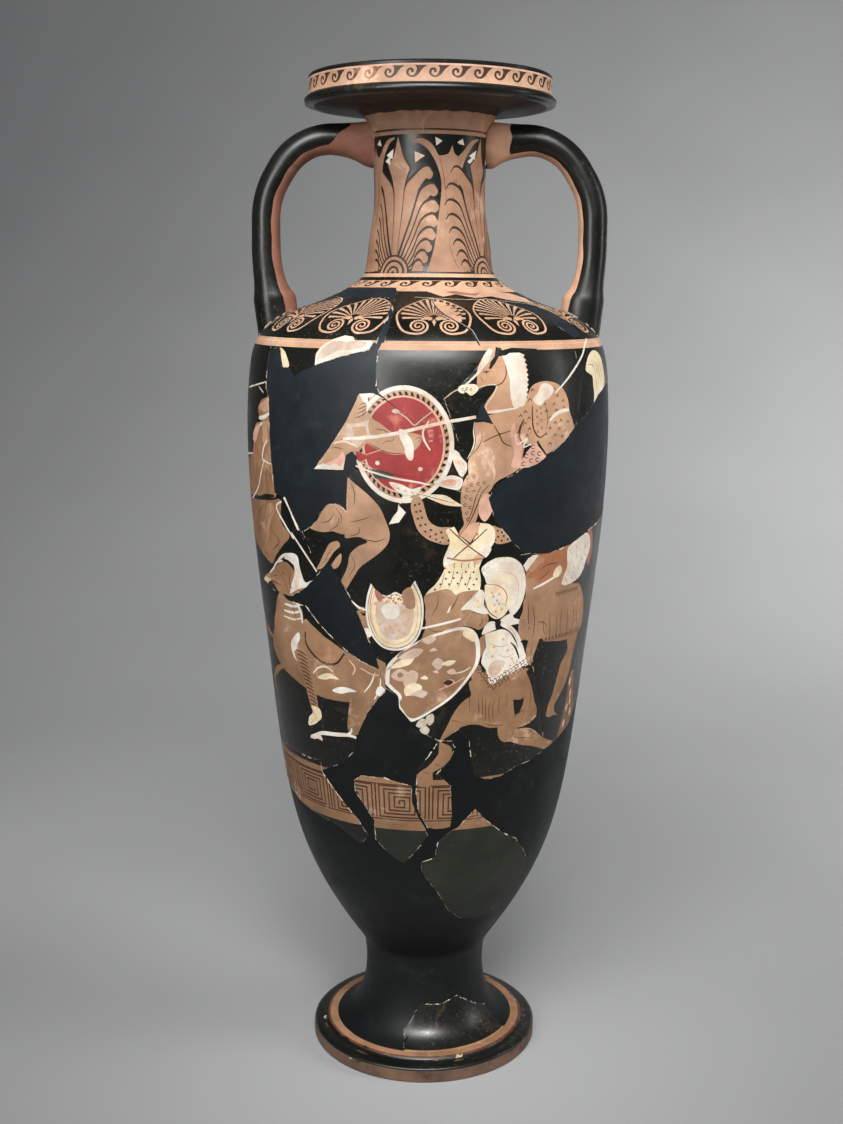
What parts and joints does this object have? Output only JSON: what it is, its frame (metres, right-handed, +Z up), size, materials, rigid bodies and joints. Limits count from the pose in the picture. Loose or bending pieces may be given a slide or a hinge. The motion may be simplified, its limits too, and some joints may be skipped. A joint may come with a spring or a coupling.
{
  "type": "amphora",
  "caption": "Tall two-handled red-figure amphora on a stemmed foot, rebuilt from painted sherds and dark modern fills.",
  "frame": {"origin": "middle of the underside of the foot, on the surface that it stands on", "axes": "+Z up the vessel's axis, -Y out of the front picture, +X towards the right handle"},
  "size_m": [0.3216, 0.3216, 0.88],
  "materials": {
    "painted_clay": "black slip gloss with reserved orange clay, satin to glossy",
    "modern_fill": "matt dark slate toned plaster"
  },
  "bodies": {
    "root": {"mouth": "painted_clay", "neck": "painted_clay", "handle_left": "painted_clay", "handle_right": "painted_clay", "foot_ring": "painted_clay", "shoulder_fill": "modern_fill", "shoulder_left_sherd": "painted_clay", "shoulder_front_sherd": "painted_clay", "shoulder_right_sherd": "painted_clay", "shoulder_back_sherd": "painted_clay", "upper_left_fill": "modern_fill", "centre_left_fill": "modern_fill", "upper_right_fill": "modern_fill", "meander_left_sherd": "painted_clay", "meander_centre_sherd": "painted_clay", "shin_sherd": "painted_clay", "lower_gloss_sherd": "painted_clay", "top_left_sherd": "painted_clay", "shield_sherd": "painted_clay", "horse_rider_sherd": "painted_clay", "wing_sherd": "painted_clay", "left_figure_sherd": "painted_clay", "lower_left_horse_sherd": "painted_clay", "centre_sherd": "painted_clay", "kneeling_warrior_sherd": "painted_clay", "right_figure_sherd": "painted_clay", "back_fill": "modern_fill", "back_upper_sherd": "painted_clay", "back_right_sherd": "painted_clay", "back_left_sherd": "painted_clay", "foot_gloss_sherd": "painted_clay", "lower_front_fill": "modern_fill", "lower_back_fill": "modern_fill", "stem_fill": "modern_fill"}
  },
  "joints": []
}
